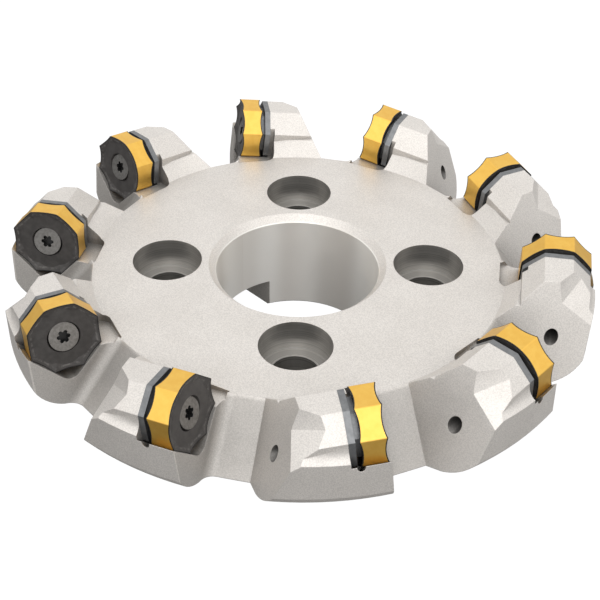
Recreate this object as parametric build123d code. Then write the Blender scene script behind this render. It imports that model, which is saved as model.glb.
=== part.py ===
"""Shell face mill, 8 inch cutting diameter, ten octagonal double-sided inserts.

Frame: Z is the spindle axis, z = 0 is the back face that sits on the arbor, the
cutting face points to +Z, and X runs along the drive slot.

Each tooth is drawn in its own frame: u outward along the rake face, v towards the
cutting face, s down into the tooth behind the rake face.
"""
from build123d import *
from math import cos, pi, radians, sin, sqrt, tan
import os

os.makedirs("parts", exist_ok=True)

# ---------------------------------------------------------------- arbor interface
BORE_R = 31.75
BORE_FRONT_CHAMFER = 2.8
BORE_BACK_CHAMFER = 1.2
SLOT_WIDTH = 25.4
SLOT_DEPTH = 12.7
BOLT_CIRCLE_R = 50.8
BOLT_COUNT = 4
BOLT_FIRST_ANGLE = 45.0
BOLT_HOLE_R = 8.75
BOLT_HEAD_R = 13.5
BOLT_SEAT_Z = 31.9

# ---------------------------------------------------------------- turned blank
HUB_R = 66.7
HUB_FILLET = 5.0
FACE_R = 79.5
FACE_Z = 44.2
LEDGE_R = 85.6
LEDGE_Z = 49.5
PLATEAU_R = 110.1
PLATEAU_Z = 50.9
SKIRT_R = 112.8
SKIRT_TOP_Z = 46.28
SKIRT_LOW_Z = 31.4
GROOVE_R = 5.3
GROOVE_MID_ANGLE = 30.0
UNDERSIDE_R = 103.1
UNDERSIDE_Z = 22.75
UNDERSIDE_SLOPE = 10.4
SKIRT_ARC_MID = (109.1, 26.1)

# ---------------------------------------------------------------- teeth
TEETH = 10
PITCH = 360.0 / TEETH
FIRST_TOOTH = 7.5
RAKE_R = 98.4
RAKE_Z = 49.0
RADIAL_RAKE = 7.25
AXIAL_RAKE = 6.5

# ---------------------------------------------------------------- inserts
INSERT_APOTHEM = 12.9
INSERT_THICKNESS = 9.2
INSERT_CORNER_R = 0.8
EDGE_SAG_R = 18.0
EDGE_SAG = 0.8
CHIP_SLOPE = 16.7
FACE_DEPTH = 1.25
COUNTERSINK_R = 6.15
COUNTERSINK_ANGLE = 20.0

# ---------------------------------------------------------------- shims
SEAT_DEPTH = 12.6
SHIM_APOTHEM = 12.4
SHIM_RIM_DEPTH = 10.3
SHIM_LAND_APOTHEM = 9.7
SHIM_LAND_CHAMFER = 0.3
SHIM_HOLE_R = 4.5
FIT_GAP = 0.03

# ---------------------------------------------------------------- clamping screws
SCREW_TILT = 10.0
HEAD_CENTRE_DEPTH = 2.0
HEAD_CONE_R = COUNTERSINK_R - (HEAD_CENTRE_DEPTH - FACE_DEPTH) * tan(radians(COUNTERSINK_ANGLE))
HEAD_BALL_R = HEAD_CONE_R * cos(radians(COUNTERSINK_ANGLE)) - FIT_GAP
HEAD_TOP_RISE = 0.6
HEAD_UNDER_DROP = 4.6
NECK_R = 3.3
THREAD_R = 3.95
THREAD_START = 11.6
THREAD_END = 25.0
THREAD_CHAMFER = 0.8
TAPPED_R = 4.1
TAPPED_END = 26.5
TAP_DRILL_R = 2.5
RECESS_R = 2.5
RECESS_LOBE_R = 0.75
RECESS_DEPTH = 2.4
RECESS_LOBES = 6

# ---------------------------------------------------------------- milled tooth faces
LOBE_APOTHEM = 12.4
LOBE_END = 40.0
NEST_CORNER_R = 4.0
NEST_FRONT = -1.5
BIB_STEP = 0.6
TRAIL_OFFSET = -50.2
TRAIL_LEAN = 0.404
TRAIL_SKEW = -0.027
TRAIL_AT_R = 95.0
GULLET_TILT = 39.1
GULLET_AZIMUTH = 7.5
GULLET_CORNER_R = 4.5
CHANNEL_INNER = -20.0
CHANNEL_OUTER = -12.5
CHANNEL_FLOOR = -6.2
CHANNEL_END = 14.5
CHANNEL_CORNER_R = 4.2
RELIEF_R = 1.4
RELIEF_DEPTH = 9.4
RELIEF_BACK_OFF = 4.0
SCOOP_APEX = (9.5, 8.1, 18.7)
SCOOP_WALL = (0.582, 0.582, 0.568)
SCOOP_AXIS = (-0.4016, -0.4016, 0.823)
SCOOP_FLOOR = (0.372, 0.785, 0.496)
SCOOP_FLOOR_RISE = 0.4
SCOOP_R = 40.0
SCOOP_LENGTH = 62.0
SCOOP_END = 36.0

SIDES = 8
REACH = 120.0
OVERRUN = 2.0
MATCH = 0.01
HALF_CORNER = 180.0 / SIDES
UP = (Align.CENTER, Align.CENTER, Align.MIN)


def rake_frame():
    """Frame of one rake face at azimuth zero."""
    out_of_face = Vector(tan(radians(RADIAL_RAKE)), 1.0, tan(radians(AXIAL_RAKE)))
    outward = Vector(out_of_face.Y, -out_of_face.X, 0)
    return Plane(origin=(RAKE_R, 0, RAKE_Z), x_dir=outward, z_dir=-out_of_face)


TOOTH = rake_frame().location


def tooth_turn(index):
    """Turn about the spindle axis that brings azimuth zero to one tooth."""
    return Rot(0, 0, FIRST_TOOTH + index * PITCH)


def octagon(apothem, start, end):
    """Octagonal prism in the tooth frame, flats square to u and v."""
    outline = RegularPolygon(apothem, SIDES, major_radius=False, rotation=HALF_CORNER)
    return Pos(0, 0, start) * extrude(outline, end - start)


def half_space(point, normal):
    """Large block on the side of a plane that its normal points to."""
    return Plane(origin=point, z_dir=normal) * Box(2 * REACH, 2 * REACH, REACH, align=UP)


# ---------------------------------------------------------------- cutter body
def blank():
    """Turned disc with hub, bore, chamfers, rim ledge and outer groove."""
    slope_drop = (UNDERSIDE_R - HUB_R) * tan(radians(UNDERSIDE_SLOPE))
    groove_mid_z = PLATEAU_Z - GROOVE_R * sin(radians(GROOVE_MID_ANGLE))
    groove_mid_r = PLATEAU_R + GROOVE_R * (1 - cos(radians(GROOVE_MID_ANGLE)))
    with BuildPart() as turned:
        with BuildSketch(Plane.XZ):
            with BuildLine():
                Polyline(
                    (SKIRT_R, SKIRT_TOP_Z),
                    (SKIRT_R, SKIRT_LOW_Z),
                )
                ThreePointArc(
                    (SKIRT_R, SKIRT_LOW_Z), SKIRT_ARC_MID, (UNDERSIDE_R, UNDERSIDE_Z)
                )
                Polyline(
                    (UNDERSIDE_R, UNDERSIDE_Z),
                    (HUB_R, UNDERSIDE_Z - slope_drop),
                    (HUB_R, 0),
                    (BORE_R + BORE_BACK_CHAMFER, 0),
                    (BORE_R, BORE_BACK_CHAMFER),
                    (BORE_R, FACE_Z - BORE_FRONT_CHAMFER),
                    (BORE_R + BORE_FRONT_CHAMFER, FACE_Z),
                    (FACE_R, FACE_Z),
                    (LEDGE_R, LEDGE_Z),
                    (PLATEAU_R, PLATEAU_Z),
                )
                ThreePointArc(
                    (PLATEAU_R, PLATEAU_Z),
                    (groove_mid_r, groove_mid_z),
                    (SKIRT_R, SKIRT_TOP_Z),
                )
            make_face()
        revolve(axis=Axis.Z)
    hub_top = UNDERSIDE_Z - slope_drop
    hub_round = 2 * pi * HUB_R
    root = turned.part.edges().filter_by(
        lambda edge: abs(edge.center().Z - hub_top) < MATCH and abs(edge.length - hub_round) < MATCH
    )
    return fillet(root, HUB_FILLET)


def bolt_holes():
    """Counterbored mounting holes, as cutting tools."""
    hole = Pos(0, 0, -OVERRUN) * Cylinder(BOLT_HOLE_R, FACE_Z + 2 * OVERRUN, align=UP)
    head = Pos(0, 0, BOLT_SEAT_Z) * Cylinder(BOLT_HEAD_R, FACE_Z, align=UP)
    first = Pos(BOLT_CIRCLE_R, 0, 0) * (hole + head)
    step = 360.0 / BOLT_COUNT
    return [Rot(0, 0, BOLT_FIRST_ANGLE + step * i) * first for i in range(BOLT_COUNT)]


def drive_slot():
    """Slot across the back face for the two spindle drive keys."""
    return Box(3 * REACH, SLOT_WIDTH, 2 * SLOT_DEPTH)


def gullet():
    """Chip gullet in front of the tooth at azimuth zero."""
    rake = rake_frame()
    bib_normal = -rake.z_dir
    bib_point = rake.origin + bib_normal * BIB_STEP
    azimuth = radians(GULLET_AZIMUTH)
    tilt = radians(GULLET_TILT)
    radial = Vector(cos(azimuth), sin(azimuth), 0)
    floor_normal = radial * cos(tilt) + Vector(0, 0, sin(tilt))
    floor_point = radial * FACE_R + Vector(0, 0, FACE_Z)
    along = bib_normal.cross(floor_normal).normalized()
    in_floor = floor_normal.cross(along).normalized()
    if in_floor.dot(bib_normal) < 0:
        in_floor = -in_floor
    in_bib = (floor_normal - bib_normal * floor_normal.dot(bib_normal)).normalized()
    lift = (bib_point - floor_point).dot(floor_normal)
    corner = bib_point - in_bib * (lift / in_bib.dot(floor_normal))
    section = Plane(origin=corner, x_dir=in_floor, z_dir=in_floor.cross(in_bib))
    side = section.to_local_coords(corner + in_bib * REACH)
    outline = Polyline((0, 0), (REACH, 0), (REACH, side.Y), (side.X, side.Y), close=True)
    wedge = make_face(outline)
    root = wedge.vertices().sort_by(lambda vertex: Vector(*vertex).length)[0]
    wedge = fillet(root, GULLET_CORNER_R)
    prism = extrude(section * wedge, REACH, both=True)
    return prism & trailing_side()


def trailing_side():
    """Half space behind the next tooth, bounded by its leaning back."""
    behind = half_space((TRAIL_AT_R, TRAIL_OFFSET, 0), (TRAIL_SKEW, -1, TRAIL_LEAN))
    return Rot(0, 0, PITCH) * behind


def nest():
    """Ninety degree V pocket for the insert and shim."""
    apex = -(INSERT_APOTHEM + FIT_GAP) * sqrt(2)
    with BuildSketch() as outline:
        with BuildLine():
            Polyline(
                (0, apex),
                (-apex * 2, -apex),
                (-apex * 2, REACH / 2),
                (CHANNEL_OUTER, REACH / 2),
                (CHANNEL_OUTER, apex - CHANNEL_OUTER),
                (0, apex),
            )
        make_face()
        fillet(outline.vertices().sort_by(Axis.Y)[0], NEST_CORNER_R)
    pocket = extrude(outline.sketch, SEAT_DEPTH - NEST_FRONT)
    return Pos(0, 0, NEST_FRONT) * pocket


def inner_channel():
    """Run-out channel between the nest and the front face."""
    width = CHANNEL_OUTER - CHANNEL_INNER + OVERRUN
    depth = CHANNEL_END - NEST_FRONT
    box = Box(width, REACH / 2, depth, align=(Align.MIN, Align.MIN, Align.MIN))
    box = Pos(CHANNEL_INNER, CHANNEL_FLOOR, NEST_FRONT) * box
    corner = box.edges().filter_by(Axis.Y).sort_by(lambda edge: edge.center().X)[:2]
    deep = corner.sort_by(lambda edge: edge.center().Z)[-1]
    return fillet(deep, CHANNEL_CORNER_R)


def wall_relief():
    """Half-round relief across the outer nest wall behind the insert edge."""
    reach = INSERT_APOTHEM + FIT_GAP
    rod = Cylinder(RELIEF_R, REACH / 2, align=UP)
    start = Vector(reach / sqrt(2) - RELIEF_BACK_OFF, -reach / sqrt(2) - RELIEF_BACK_OFF, RELIEF_DEPTH)
    return Plane(origin=start, z_dir=(1, 1, 0)) * rod


def scoop():
    """Notch milled off the outer trailing corner of the lobe."""
    apex = Vector(*SCOOP_APEX)
    floor_normal = Vector(*SCOOP_FLOOR)
    centre = apex + Vector(*SCOOP_WALL) * SCOOP_R
    roll = Plane(origin=centre, z_dir=SCOOP_AXIS) * Cylinder(SCOOP_R, SCOOP_LENGTH)
    slab = Box(2 * REACH, 2 * REACH, SCOOP_END, align=UP)
    return roll & half_space(apex + floor_normal * SCOOP_FLOOR_RISE, SCOOP_FLOOR) & slab


def screw_axis(depth):
    """Frame on the tilted screw axis, its z axis into the tooth."""
    tilt = radians(SCREW_TILT)
    along = Vector(0, -sin(tilt), cos(tilt))
    origin = Vector(0, 0, HEAD_CENTRE_DEPTH) + along * depth
    return Plane(origin=origin, x_dir=(1, 0, 0), z_dir=along).location


def screw_hole():
    """Threaded hole with its drill through to the back of the tooth."""
    tapped = screw_axis(0) * Cylinder(TAPPED_R, TAPPED_END, align=UP)
    drill = screw_axis(0) * Cylinder(TAP_DRILL_R, REACH / 2, align=UP)
    return tapped + drill


def lobe():
    """Octagonal back support of one tooth."""
    return octagon(LOBE_APOTHEM, SEAT_DEPTH, LOBE_END)


def cutter_body():
    """Body with teeth, nests, gullets and arbor interface."""
    lobes = [tooth_turn(i) * TOOTH * lobe() for i in range(TEETH)]
    body = blank().fuse(*lobes)
    tool = TOOTH * nest()
    tools = [gullet(), tool, TOOTH * inner_channel(), TOOTH * wall_relief()]
    tools += [TOOTH * scoop(), TOOTH * screw_hole()]
    around = [tooth_turn(i) * cutter for i in range(TEETH) for cutter in tools]
    return body.cut(*around, drive_slot(), *bolt_holes())


# ---------------------------------------------------------------- insert
def edge_scallop():
    """Wavy chip former over one of the eight edges of the upper face."""
    roll = Cylinder(EDGE_SAG_R, REACH, rotation=(0, 90, 0))
    slope = Rot(0, CHIP_SLOPE, 0)
    edge = Pos(INSERT_APOTHEM, 0, -EDGE_SAG)
    tilted = edge * slope.inverse() * Pos(0, 0, EDGE_SAG_R) * roll
    far = 2 * INSERT_APOTHEM
    side = far * tan(radians(HALF_CORNER))
    sector = make_face(Polyline((0, 0), (far, side), (far, -side), close=True))
    slab = Pos(0, 0, -FACE_DEPTH) * extrude(sector, FACE_DEPTH + OVERRUN)
    return tilted & slab


def insert():
    """Double-sided octagonal insert in the tooth frame."""
    plate = octagon(INSERT_APOTHEM, 0, INSERT_THICKNESS)
    plate = fillet(plate.edges().filter_by(Axis.Z), INSERT_CORNER_R)
    face = [Rot(0, 0, 360 / SIDES * i) * edge_scallop() for i in range(SIDES)]
    front = [Rot(180, 0, 0) * cutter for cutter in face]
    back = [Pos(0, 0, INSERT_THICKNESS) * cutter for cutter in face]
    return plate.cut(*front, *back).cut(insert_hole())


def insert_hole():
    """Hole that narrows from both faces to its middle."""
    middle = INSERT_THICKNESS / 2
    narrow = COUNTERSINK_R - (middle - FACE_DEPTH) * tan(radians(COUNTERSINK_ANGLE))
    wide = COUNTERSINK_R + FACE_DEPTH * tan(radians(COUNTERSINK_ANGLE))
    front = Cone(wide, narrow, middle, align=UP)
    back = Pos(0, 0, middle) * Cone(narrow, wide, middle, align=UP)
    return front + back


# ---------------------------------------------------------------- shim
def shim():
    """Seat plate with a raised land that carries the flat centre of the insert."""
    land_depth = INSERT_THICKNESS - FACE_DEPTH + FIT_GAP
    plate = octagon(SHIM_APOTHEM, SHIM_RIM_DEPTH, SEAT_DEPTH)
    land = octagon(SHIM_LAND_APOTHEM, land_depth, SEAT_DEPTH)
    top = land.faces().sort_by(Axis.Z)[0].edges()
    land = chamfer(top, SHIM_LAND_CHAMFER)
    hole = screw_axis(0) * Cylinder(SHIM_HOLE_R, REACH / 2, align=UP)
    return plate.fuse(land).cut(hole)


# ---------------------------------------------------------------- screw
def screw():
    """Clamping screw with a domed underside and a six-lobe socket, in the tooth frame."""
    ball = Sphere(HEAD_BALL_R)
    top = -HEAD_TOP_RISE
    band = Pos(0, 0, top) * Cylinder(HEAD_BALL_R, HEAD_TOP_RISE + HEAD_UNDER_DROP, align=UP)
    neck = Cylinder(NECK_R, THREAD_START, align=UP)
    thread = Cylinder(THREAD_R, THREAD_END - THREAD_START, align=UP)
    thread = chamfer(thread.edges(), THREAD_CHAMFER)
    head = (ball & band).cut(recess())
    return screw_axis(0) * head.fuse(neck.cut(recess()), Pos(0, 0, THREAD_START) * thread)


def recess():
    """Six-lobe drive socket, as a cutting tool."""
    outline = Circle(RECESS_R - RECESS_LOBE_R)
    for i in range(RECESS_LOBES):
        lobe_at = Rot(0, 0, 360 / RECESS_LOBES * i) * Pos(RECESS_R - RECESS_LOBE_R, 0)
        outline = outline + lobe_at * Circle(RECESS_LOBE_R)
    return Pos(0, 0, -HEAD_TOP_RISE - OVERRUN) * extrude(outline, RECESS_DEPTH + OVERRUN)


def place(piece, index):
    """Move a piece drawn in the tooth frame to one tooth."""
    return tooth_turn(index) * TOOTH * piece


export_step(cutter_body(), "parts/cutter_body.step")
plain_insert = insert()
plain_shim = shim()
plain_screw = screw()
for tooth in range(TEETH):
    number = f"{tooth + 1:02d}"
    export_step(place(plain_insert, tooth), f"parts/insert_{number}.step")
    export_step(place(plain_shim, tooth), f"parts/shim_{number}.step")
    export_step(place(plain_screw, tooth), f"parts/insert_screw_{number}.step")
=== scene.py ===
"""Looks for the face mill: satin nickel body, gold and black inserts, grey shims, steel screws."""
import math

import bpy
from mathutils import Matrix, Vector

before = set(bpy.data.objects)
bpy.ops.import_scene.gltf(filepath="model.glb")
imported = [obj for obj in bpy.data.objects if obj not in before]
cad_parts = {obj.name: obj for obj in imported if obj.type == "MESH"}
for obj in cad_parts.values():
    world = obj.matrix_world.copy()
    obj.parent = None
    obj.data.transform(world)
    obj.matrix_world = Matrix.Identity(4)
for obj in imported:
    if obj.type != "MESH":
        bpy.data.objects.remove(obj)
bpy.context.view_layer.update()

MM = 0.001

# Tooth frame, the same as in the CAD: u outward, v upward, s into the insert.
FIRST_TOOTH = math.radians(7.5)
PITCH = math.radians(36)
SECTOR_SHIFT = math.radians(10)
RAKE_POINT = Vector((98.4, 0, 49.0)) * MM
RADIAL_RAKE = math.radians(7.25)
AXIAL_RAKE = math.radians(6.5)

# Insert and screw, in millimetres.
INSERT_APOTHEM = 12.9
INSERT_THICKNESS = 9.2
EDGE_SAG = 0.8
EDGE_SAG_R = 18.0
EDGE_LINE = 0.30
EDGE_ANGLE = math.radians(45)
HEAD_CENTRE_DEPTH = 2.0
SCREW_TILT = math.radians(10)
SOCKET_RADIUS = 2.6
SOCKET_END = 3.0

# Body, in metres.
BOLT_OFFSET = 0.0508 * math.cos(math.radians(45))
# Reach of the ambient occlusion that paints shade into corners.
PAINTED_SHADE_REACH = 0.022

# Painted shade: how much darker the gullet floors and the screw holes are painted than open faces.
GULLET_PAINTED_SHADE = -0.26
SCREW_HOLE_PAINTED_SHADE = -0.60

# Colours, linear.
NICKEL_DARK = (0.69, 0.655, 0.615, 1)
NICKEL_LIGHT = (0.72, 0.685, 0.645, 1)
NICKEL_PATCH = (0.665, 0.635, 0.60, 1)
# Bolt hole walls: machined tone, darkened partly as painted shade inside the holes.
HOLE_DARK_WITH_SHADE = (0.37, 0.36, 0.343, 1)
HOLE_LIGHT_WITH_SHADE = (0.54, 0.523, 0.497, 1)
# Turned bore: brighter tone with painted reflection bands.
BORE_REFLECTION_DIM = (0.74, 0.705, 0.66, 1)
BORE_REFLECTION_BRIGHT = (0.92, 0.90, 0.86, 1)
GOLD_LIGHT = (0.90, 0.56, 0.12, 1)
GOLD_DEEP = (0.86, 0.51, 0.10, 1)
RAKE_DARK = (0.047, 0.043, 0.041, 1)
RAKE_LIGHT = (0.066, 0.061, 0.058, 1)
# Lighter rake ridge: painted highlight of the chip-former land, broken up like wear.
RAKE_RIDGE_SHEEN_AND_WEAR = (0.20, 0.19, 0.18, 1)
EDGE_BLACK = (0.010, 0.010, 0.010, 1)
SHIM_DARK = (0.20, 0.205, 0.21, 1)
SHIM_LIGHT = (0.25, 0.255, 0.26, 1)
SCREW_DARK = (0.22, 0.21, 0.20, 1)
SCREW_LIGHT = (0.30, 0.29, 0.275, 1)
# Socket recess: black as painted shade.
SOCKET_PAINTED_SHADE = (0.012, 0.012, 0.012, 1)

# Studio.
FLOOR_HALF = 3.0
DOME_LEVEL = 0.94
FRONT_ZONE = 0.5
FRONT_DIRECTION = (0.430, -0.478, 0.766)
DARK_SIDE_DIRECTION = (0.707, 0.707, 0.0)

# Camera, fitted to the photograph's view.
CAMERA_TURN = math.radians(45)
CAMERA_YAW = math.radians(2.2)
CAMERA_PITCH = math.radians(38.837)
CAMERA_ROLL = math.radians(-0.173)
CAMERA_DISTANCE = 0.366695
CAMERA_HEIGHT = 0.30659
CAMERA_LENS = 69.2985
CAMERA_SHIFT = (0.06425, 0.04563)


# ------------------------------------------------------------------ node helpers
class Graph:
    """Short names for building one node tree."""

    def __init__(self, tree):
        self.tree = tree

    def node(self, kind, **settings):
        made = self.tree.nodes.new(kind)
        for key, value in settings.items():
            setattr(made, key, value)
        return made

    def feed(self, socket, value):
        """Link an output to a socket, or set a constant on it."""
        if isinstance(value, bpy.types.NodeSocket):
            self.tree.links.new(value, socket)
        elif value is not None:
            socket.default_value = value

    def split(self, vector):
        """x, y and z outputs of a vector."""
        made = self.node("ShaderNodeSeparateXYZ")
        self.feed(made.inputs[0], vector)
        return made.outputs

    def math(self, operation, a, b=None, c=None):
        made = self.node("ShaderNodeMath", operation=operation)
        for socket, value in zip(made.inputs, (a, b, c)):
            self.feed(socket, value)
        return made.outputs[0]

    def vector(self, operation, a, b=None):
        made = self.node("ShaderNodeVectorMath", operation=operation)
        self.feed(made.inputs[0], a)
        self.feed(made.inputs[1], b)
        return made.outputs["Value" if operation in ("DOT_PRODUCT", "LENGTH") else "Vector"]

    def noise(self, vector, scale, detail=3.0, roughness=0.5):
        made = self.node("ShaderNodeTexNoise")
        self.feed(made.inputs["Vector"], vector)
        made.inputs["Scale"].default_value = scale
        made.inputs["Detail"].default_value = detail
        made.inputs["Roughness"].default_value = roughness
        return made.outputs["Fac"]

    def ramp(self, value, low, high, out_low=0.0, out_high=1.0):
        made = self.node("ShaderNodeMapRange", interpolation_type="SMOOTHSTEP")
        self.feed(made.inputs["Value"], value)
        made.inputs["From Min"].default_value = low
        made.inputs["From Max"].default_value = high
        made.inputs["To Min"].default_value = out_low
        made.inputs["To Max"].default_value = out_high
        return made.outputs["Result"]

    def mix(self, factor, a, b):
        made = self.node("ShaderNodeMix", data_type="RGBA")
        self.feed(made.inputs["Factor"], factor)
        self.feed(made.inputs["A"], a)
        self.feed(made.inputs["B"], b)
        return made.outputs["Result"]

    def bump(self, height, strength, distance, normal):
        made = self.node("ShaderNodeBump")
        self.feed(made.inputs["Height"], height)
        made.inputs["Strength"].default_value = strength
        made.inputs["Distance"].default_value = distance
        self.feed(made.inputs["Normal"], normal)
        return made.outputs["Normal"]

    def rounded(self, radius):
        made = self.node("ShaderNodeBevel", samples=6)
        made.inputs["Radius"].default_value = radius
        return made.outputs["Normal"]


def new_material(name):
    """Material with an empty Principled shader, and its graph."""
    material = bpy.data.materials.new(name)
    material.use_nodes = True
    graph = Graph(material.node_tree)
    shader = material.node_tree.nodes["Principled BSDF"]
    return material, graph, shader


def row_position(graph):
    """Position in the row frame, fixed to the piece, in metres."""
    return graph.node("ShaderNodeTexCoord").outputs["Object"]


def combine(graph, x, y, z):
    """Vector from three numbers or outputs."""
    made = graph.node("ShaderNodeCombineXYZ")
    for socket, value in zip(made.inputs, (x, y, z)):
        graph.feed(socket, value)
    return made.outputs[0]


def plan_length(graph, x, y):
    """Length of a flat vector."""
    return graph.math("SQRT", graph.math("MULTIPLY_ADD", x, x, graph.math("MULTIPLY", y, y)))


def tooth_group():
    """Group that turns a row position into u, v, s of the nearest tooth, in millimetres."""
    tree = bpy.data.node_groups.new("tooth_frame", "ShaderNodeTree")
    tree.interface.new_socket("Position", in_out="INPUT", socket_type="NodeSocketVector")
    for name in ("u", "v", "s"):
        tree.interface.new_socket(name, in_out="OUTPUT", socket_type="NodeSocketFloat")
    graph = Graph(tree)
    position = graph.node("NodeGroupInput").outputs[0]
    place = graph.split(position)
    azimuth = graph.math("ARCTAN2", place["Y"], place["X"])
    steps = graph.math("DIVIDE", graph.math("ADD", azimuth, SECTOR_SHIFT - FIRST_TOOTH), PITCH)
    tooth = graph.math("ROUND", steps)
    turn = graph.math("MULTIPLY_ADD", tooth, -PITCH, -FIRST_TOOTH)
    rotate = graph.node("ShaderNodeVectorRotate", rotation_type="Z_AXIS")
    graph.feed(rotate.inputs["Vector"], position)
    graph.feed(rotate.inputs["Angle"], turn)
    local = graph.vector("SUBTRACT", rotate.outputs[0], tuple(RAKE_POINT))
    out_of_face = Vector((math.tan(RADIAL_RAKE), 1, math.tan(AXIAL_RAKE))).normalized()
    outward = Vector((out_of_face.y, -out_of_face.x, 0)).normalized()
    upward = (-out_of_face).cross(outward)
    ends = graph.node("NodeGroupOutput")
    for socket, axis in zip(ends.inputs, (outward, upward, -out_of_face)):
        graph.feed(socket, graph.vector("DOT_PRODUCT", local, tuple(axis / MM)))
    return tree


TOOTH = tooth_group()


def tooth_frame(graph, position):
    """u, v and s of a point, in millimetres."""
    made = graph.node("ShaderNodeGroup", node_tree=TOOTH)
    graph.feed(made.inputs[0], position)
    return made.outputs[0], made.outputs[1], made.outputs[2]


def screw_frame(graph, position):
    """Depth along the tilted screw axis and distance from it, in millimetres."""
    u, v, s = tooth_frame(graph, position)
    below = graph.math("SUBTRACT", s, HEAD_CENTRE_DEPTH)
    depth = graph.math("MULTIPLY", v, -math.sin(SCREW_TILT))
    depth = graph.math("MULTIPLY_ADD", below, math.cos(SCREW_TILT), depth)
    across = graph.math("MULTIPLY", v, math.cos(SCREW_TILT))
    across = graph.math("MULTIPLY_ADD", below, math.sin(SCREW_TILT), across)
    return depth, plan_length(graph, u, across)


def shade_tone(graph, tone, factor):
    """Colour multiplied by one number."""
    return graph.vector("MULTIPLY", tone, combine(graph, factor, factor, factor))


def product(graph, *factors):
    """Product of several masks."""
    total = factors[0]
    for factor in factors[1:]:
        total = graph.math("MULTIPLY", total, factor)
    return total


# ------------------------------------------------------------------ materials
def gullet_shade_mask(graph, x, y, z, radius):
    """Mask of painted shade: 1 on the gullet floors and the faces under the inserts, 0 elsewhere.
    """
    facing = graph.split(graph.node("ShaderNodeNewGeometry").outputs["True Normal"])
    turned = graph.math("MULTIPLY", facing["X"], graph.math("MULTIPLY", y, -1.0))
    turned = graph.math("MULTIPLY_ADD", facing["Y"], x, turned)
    turned = graph.math("DIVIDE", turned, radius)
    below_face = graph.ramp(z, 0.0443, 0.0430)
    outside_disc = graph.ramp(radius, 0.072, 0.076)
    inside_skirt = graph.ramp(radius, 0.1124, 0.1120)
    place = product(graph, below_face, outside_disc, inside_skirt)
    towards_turn = graph.ramp(turned, -0.6, -0.4)
    looks_up = graph.ramp(facing["Z"], 0.0, 0.08)
    not_flat = graph.ramp(facing["Z"], 0.97, 0.93)
    aim = product(graph, towards_turn, looks_up, not_flat)
    return graph.math("MULTIPLY", place, aim)


def screw_hole_shade_mask(graph, position):
    """Mask of painted shade: 1 inside the threaded holes and their drills."""
    depth, distance = screw_frame(graph, position)
    in_thread = graph.ramp(distance, 4.25, 4.15)
    past_shim = graph.ramp(depth, 8.0, 9.0)
    before_end = graph.ramp(depth, 25.6, 25.2)
    tapped = product(graph, in_thread, past_shim, before_end)
    in_drill = graph.ramp(distance, 2.53, 2.505)
    past_thread = graph.ramp(depth, 24.0, 25.0)
    drilled = graph.math("MULTIPLY", in_drill, past_thread)
    return graph.math("MAXIMUM", tapped, drilled)


def bolt_hole_mask(graph, hole_radius, z):
    """1 on the walls and seats of the four bolt holes."""
    in_hole = graph.ramp(hole_radius, 0.0139, 0.01365)
    below_front = graph.ramp(z, 0.0442, 0.0440)
    above_back = graph.ramp(z, 0.00005, 0.0003)
    return product(graph, in_hole, below_front, above_back)


def plate_tone(graph, position, grain, patch):
    """Cloudy, speckled nickel plate."""
    cloud = graph.noise(position, 45, 3.0, 0.5)
    tone = graph.mix(graph.ramp(cloud, 0.35, 0.65), NICKEL_DARK, NICKEL_LIGHT)
    tone = graph.mix(graph.ramp(patch, 0.55, 0.75, 0.0, 0.25), tone, NICKEL_PATCH)
    return shade_tone(graph, tone, graph.ramp(grain, 0.3, 0.7, 0.90, 1.09))


def bore_reflection_tone(graph, x, y):
    """Brighter turned wall with painted reflection bands along the bore."""
    azimuth = graph.math("ARCTAN2", y, x)
    reflection_band = graph.noise(combine(graph, azimuth, 0.0, 0.0), 1.3, 1.0, 0.5)
    return graph.mix(graph.ramp(reflection_band, 0.35, 0.65), BORE_REFLECTION_DIM, BORE_REFLECTION_BRIGHT)


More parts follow.
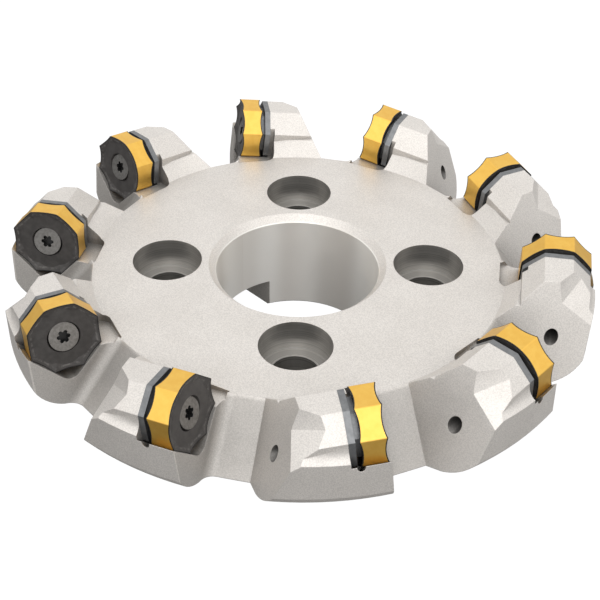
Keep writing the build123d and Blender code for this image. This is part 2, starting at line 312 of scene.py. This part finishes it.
def body_material():
    """Satin nickel plate, machined bolt holes toned darker partly as painted shade, a brighter
    turned bore with painted reflection bands, and painted shade in the gullets, screw holes and
    corners.
    """
    material, graph, shader = new_material("satin_nickel_steel")
    position = row_position(graph)
    x, y, z = graph.split(position)
    radius = plan_length(graph, x, y)
    side_x = graph.math("SUBTRACT", graph.math("ABSOLUTE", x), BOLT_OFFSET)
    side_y = graph.math("SUBTRACT", graph.math("ABSOLUTE", y), BOLT_OFFSET)
    hole_radius = plan_length(graph, side_x, side_y)
    bore = graph.ramp(radius, 0.0322, 0.0319)
    hole = bolt_hole_mask(graph, hole_radius, z)
    machined = graph.math("MAXIMUM", bore, hole)

    turned = graph.noise(combine(graph, radius, z, 0.0), 1400, 2.0, 0.6)
    bored = graph.noise(combine(graph, hole_radius, z, 0.0), 1700, 2.0, 0.7)
    grain = graph.noise(position, 2300, 1.0, 0.5)
    patch = graph.noise(position, 160, 2.0, 0.5)
    rings = graph.mix(hole, turned, bored)
    ring_height = graph.math("MULTIPLY", rings, graph.math("MULTIPLY_ADD", machined, 1.5, 0.3))
    height = graph.math("ADD", ring_height, grain)
    normal = graph.bump(height, 0.22, 0.00008, graph.rounded(0.00035))

    tone = plate_tone(graph, position, grain, patch)
    # Machined bolt holes take a darker tone, partly painted shade.
    tone = graph.mix(hole, tone, graph.mix(graph.ramp(bored, 0.3, 0.7), HOLE_DARK_WITH_SHADE, HOLE_LIGHT_WITH_SHADE))
    # Painted reflection: lighter and darker bands around the bore.
    tone = graph.mix(bore, tone, bore_reflection_tone(graph, x, y))
    # Painted shade: the gullet floors and the faces under the inserts are darkened.
    gullet_shade = gullet_shade_mask(graph, x, y, z, radius)
    tone = shade_tone(graph, tone, graph.math("MULTIPLY_ADD", gullet_shade, GULLET_PAINTED_SHADE, 1.0))
    # Painted shade: the threaded holes are darkened inside.
    screw_hole_shade = screw_hole_shade_mask(graph, position)
    tone = shade_tone(graph, tone, graph.math("MULTIPLY_ADD", screw_hole_shade, SCREW_HOLE_PAINTED_SHADE, 1.0))
    # Painted shade: ambient occlusion darkens corners and recesses, except on the bore and bolt
    # holes.
    painted_occlusion = graph.node("ShaderNodeAmbientOcclusion", samples=6)
    painted_occlusion.inputs["Distance"].default_value = PAINTED_SHADE_REACH
    painted_corner_shade = graph.ramp(painted_occlusion.outputs["AO"], 0.25, 0.95, 0.42, 1.0)
    painted_corner_shade = graph.math("MAXIMUM", painted_corner_shade, machined)
    tone = shade_tone(graph, tone, painted_corner_shade)

    roughness = graph.ramp(patch, 0.3, 0.7, 0.44, 0.50)
    around = graph.node("ShaderNodeTangent", direction_type="RADIAL", axis="Z")
    graph.feed(shader.inputs["Base Color"], tone)
    graph.feed(shader.inputs["Roughness"], graph.math("MULTIPLY_ADD", machined, -0.16, roughness))
    graph.feed(shader.inputs["Metallic"], graph.math("MULTIPLY_ADD", hole, 0.25, 0.6))
    graph.feed(shader.inputs["Anisotropic"], graph.math("MULTIPLY", bore, 0.8))
    graph.feed(shader.inputs["Tangent"], around.outputs[0])
    graph.feed(shader.inputs["Normal"], normal)
    shader.inputs["Anisotropic Rotation"].default_value = 0.25
    return material


def insert_zones(graph, position):
    """Masks of the gold flank, the black edge line and the rake face's ridge band, a painted
    highlight broken up like wear.
    """
    u, v, s = tooth_frame(graph, position)
    reach = plan_length(graph, u, v)
    angle = graph.math("ARCTAN2", v, u)
    odd = graph.math("MODULO", graph.math("ABSOLUTE", angle), EDGE_ANGLE)
    past = graph.math("GREATER_THAN", odd, EDGE_ANGLE / 2)
    offset = graph.math("SUBTRACT", odd, graph.math("MULTIPLY", past, EDGE_ANGLE))
    along = graph.math("MULTIPLY", reach, graph.math("SINE", offset))
    apothem = graph.math("MULTIPLY", reach, graph.math("COSINE", offset))
    nearest = graph.math("MINIMUM", s, graph.math("SUBTRACT", INSERT_THICKNESS, s))
    sag = graph.math("MULTIPLY", graph.math("MULTIPLY", along, along), -0.5 / EDGE_SAG_R)
    below_edge = graph.math("SUBTRACT", nearest, graph.math("ADD", sag, EDGE_SAG))
    ragged = graph.noise(position, 3000, 2.0, 0.6)
    line = graph.math("ADD", EDGE_LINE, graph.math("MULTIPLY", ragged, 0.12))
    flank = graph.math("GREATER_THAN", below_edge, line)
    outer = graph.math("GREATER_THAN", apothem, INSERT_APOTHEM - EDGE_LINE)
    gold = graph.math("MULTIPLY", flank, outer)
    edge = graph.math("SUBTRACT", outer, gold)
    ridge_patches = graph.noise(position, 700, 3.0, 0.6)
    inner_side = graph.ramp(apothem, 11.1, 11.5)
    outer_side = graph.ramp(apothem, 12.1, 11.7)
    broken = graph.ramp(ridge_patches, 0.42, 0.68, 0.0, 0.55)
    return gold, edge, product(graph, inner_side, outer_side, broken)


def insert_material():
    """Coated carbide: gold flanks, black rake faces, thin black line along every cutting edge."""
    material, graph, shader = new_material("coated_carbide")
    position = row_position(graph)
    gold, edge, ridge_sheen_and_wear = insert_zones(graph, position)
    cloud = graph.noise(position, 350, 3.0, 0.6)
    mottle = graph.ramp(cloud, 0.3, 0.7)
    yellow = graph.mix(mottle, GOLD_LIGHT, GOLD_DEEP)
    black = graph.mix(mottle, RAKE_DARK, RAKE_LIGHT)
    # Painted highlight with wear: broken lighter band along the chip-former ridge.
    black = graph.mix(ridge_sheen_and_wear, black, RAKE_RIDGE_SHEEN_AND_WEAR)
    black = graph.mix(edge, black, EDGE_BLACK)
    graph.feed(shader.inputs["Base Color"], graph.mix(gold, black, yellow))
    graph.feed(shader.inputs["Metallic"], graph.math("MULTIPLY_ADD", gold, 0.75, 0.15))
    graph.feed(shader.inputs["Roughness"], graph.math("MULTIPLY_ADD", gold, -0.06, 0.42))
    grain = graph.noise(position, 4200, 2.0, 0.6)
    graph.feed(shader.inputs["Normal"], graph.bump(grain, 0.12, 0.00004, graph.rounded(0.00012)))
    return material


def shim_material():
    """Ground carbide seat plate."""
    material, graph, shader = new_material("shim_carbide")
    position = row_position(graph)
    cloud = graph.noise(position, 500, 3.0, 0.6)
    tone = graph.mix(graph.ramp(cloud, 0.3, 0.7), SHIM_DARK, SHIM_LIGHT)
    graph.feed(shader.inputs["Base Color"], tone)
    graph.feed(shader.inputs["Normal"], graph.bump(cloud, 0.10, 0.00004, graph.rounded(0.00015)))
    shader.inputs["Metallic"].default_value = 0.85
    shader.inputs["Roughness"].default_value = 0.38
    return material


def screw_material():
    """Grey turned screw; its socket recess is painted black as painted shade."""
    material, graph, shader = new_material("screw_steel")
    position = row_position(graph)
    depth, radius = screw_frame(graph, position)
    below_top = graph.ramp(depth, -0.55, -0.35)
    above_floor = graph.math("LESS_THAN", depth, SOCKET_END)
    inside = graph.math("LESS_THAN", radius, SOCKET_RADIUS)
    socket = product(graph, below_top, above_floor, inside)
    cloud = graph.noise(position, 900, 3.0, 0.6)
    rings = graph.noise(combine(graph, radius, 0.0, 0.0), 3.0, 2.0, 0.6)
    tone = graph.mix(graph.ramp(cloud, 0.3, 0.7), SCREW_DARK, SCREW_LIGHT)
    # Painted shade: the socket recess is coloured black and not metallic.
    tone = graph.mix(socket, tone, SOCKET_PAINTED_SHADE)
    graph.feed(shader.inputs["Base Color"], tone)
    graph.feed(shader.inputs["Metallic"], graph.math("MULTIPLY_ADD", socket, -0.9, 0.9))
    height = graph.math("ADD", rings, graph.math("MULTIPLY", cloud, 0.5))
    graph.feed(shader.inputs["Normal"], graph.bump(height, 0.25, 0.00005, graph.rounded(0.00015)))
    shader.inputs["Roughness"].default_value = 0.4
    return material


def paint(prefix, material):
    """Give every node whose name starts with prefix one material."""
    for name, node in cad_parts.items():
        if name.startswith(prefix):
            node.data.materials.clear()
            node.data.materials.append(material)


paint("cutter_body", body_material())
paint("shim_", shim_material())
carbide = insert_material()
paint("insert_0", carbide)
paint("insert_1", carbide)
paint("insert_screw", screw_material())


# ------------------------------------------------------------------ stage, light, camera
def add_floor():
    """Plain white floor that stays even in tone."""
    half = FLOOR_HALF
    corners = [(-half, -half, 0), (half, -half, 0), (half, half, 0), (-half, half, 0)]
    mesh = bpy.data.meshes.new("floor")
    mesh.from_pydata(corners, [], [(0, 1, 2, 3)])
    floor = bpy.data.objects.new("floor", mesh)
    bpy.context.collection.objects.link(floor)
    material, _, shader = new_material("white_floor")
    shader.inputs["Base Color"].default_value = (0.06, 0.06, 0.06, 1)
    shader.inputs["Roughness"].default_value = 1.0
    shader.inputs["Specular IOR Level"].default_value = 0.0
    shader.inputs["Emission Color"].default_value = (1, 1, 1, 1)
    shader.inputs["Emission Strength"].default_value = 1.0
    mesh.materials.append(material)
    floor.visible_diffuse = False
    floor.visible_glossy = False


def add_world():
    """Soft studio dome: white above, a wide bright zone in front, grey below."""
    world = bpy.data.worlds.new("studio")
    world.use_nodes = True
    bpy.context.scene.world = world
    graph = Graph(world.node_tree)
    direction = graph.node("ShaderNodeTexCoord").outputs["Generated"]
    height = graph.split(direction)["Z"]
    rise = graph.ramp(height, -0.04, 0.22)
    deep = graph.ramp(height, -0.95, -0.30, 0.24, 0.48)
    aside = graph.vector("DOT_PRODUCT", direction, DARK_SIDE_DIRECTION)
    below = graph.math("MULTIPLY", deep, graph.ramp(aside, -0.70, 0.10, 0.50, 1.0))
    front = graph.vector("DOT_PRODUCT", direction, FRONT_DIRECTION)
    zone = graph.ramp(front, 0.25, 0.80, 0.0, FRONT_ZONE)
    above = graph.math("ADD", DOME_LEVEL, zone)
    level = graph.node("ShaderNodeMix", data_type="FLOAT")
    for socket, value in zip(("Factor", "A", "B"), (rise, below, above)):
        graph.feed(level.inputs[socket], value)
    shade = level.outputs["Result"]
    background = world.node_tree.nodes["Background"]
    graph.feed(background.inputs["Color"], combine(graph, shade, shade, shade))


def add_softbox(name, place, aim, size, power):
    """Large square area light that looks at a point."""
    light = bpy.data.lights.new(name, "AREA")
    light.shape = "SQUARE"
    light.size = size
    light.energy = power
    made = bpy.data.objects.new(name, light)
    made.location = place
    made.rotation_euler = (Vector(aim) - Vector(place)).to_track_quat("-Z", "Y").to_euler()
    bpy.context.collection.objects.link(made)


def add_camera():
    """Camera at the viewing angle of the reference view."""
    heading = CAMERA_TURN + CAMERA_YAW
    level = math.cos(CAMERA_PITCH)
    drop = math.sin(CAMERA_PITCH)
    forward = Vector((-math.sin(heading) * level, math.cos(heading) * level, -drop))
    side = forward.cross(Vector((0, 0, 1))).normalized()
    up = side.cross(forward)
    right = side * math.cos(CAMERA_ROLL) + up * math.sin(CAMERA_ROLL)
    top = up * math.cos(CAMERA_ROLL) - side * math.sin(CAMERA_ROLL)
    data = bpy.data.cameras.new("camera")
    data.sensor_width = 36
    data.lens = CAMERA_LENS
    data.shift_x, data.shift_y = CAMERA_SHIFT
    data.clip_start = 0.01
    camera = bpy.data.objects.new("camera", data)
    east = CAMERA_DISTANCE * math.sin(CAMERA_TURN)
    south = CAMERA_DISTANCE * math.cos(CAMERA_TURN)
    spot = Vector((east, -south, CAMERA_HEIGHT))
    axes = Matrix((right, top, -forward)).transposed()
    camera.matrix_world = Matrix.LocRotScale(spot, axes, None)
    bpy.context.collection.objects.link(camera)
    bpy.context.scene.camera = camera


add_floor()
add_world()
add_softbox("key", (0.58, -0.65, 0.94), (0, 0, 0.04), 0.9, 1.6)
add_camera()
bpy.context.scene.view_settings.view_transform = "Standard"
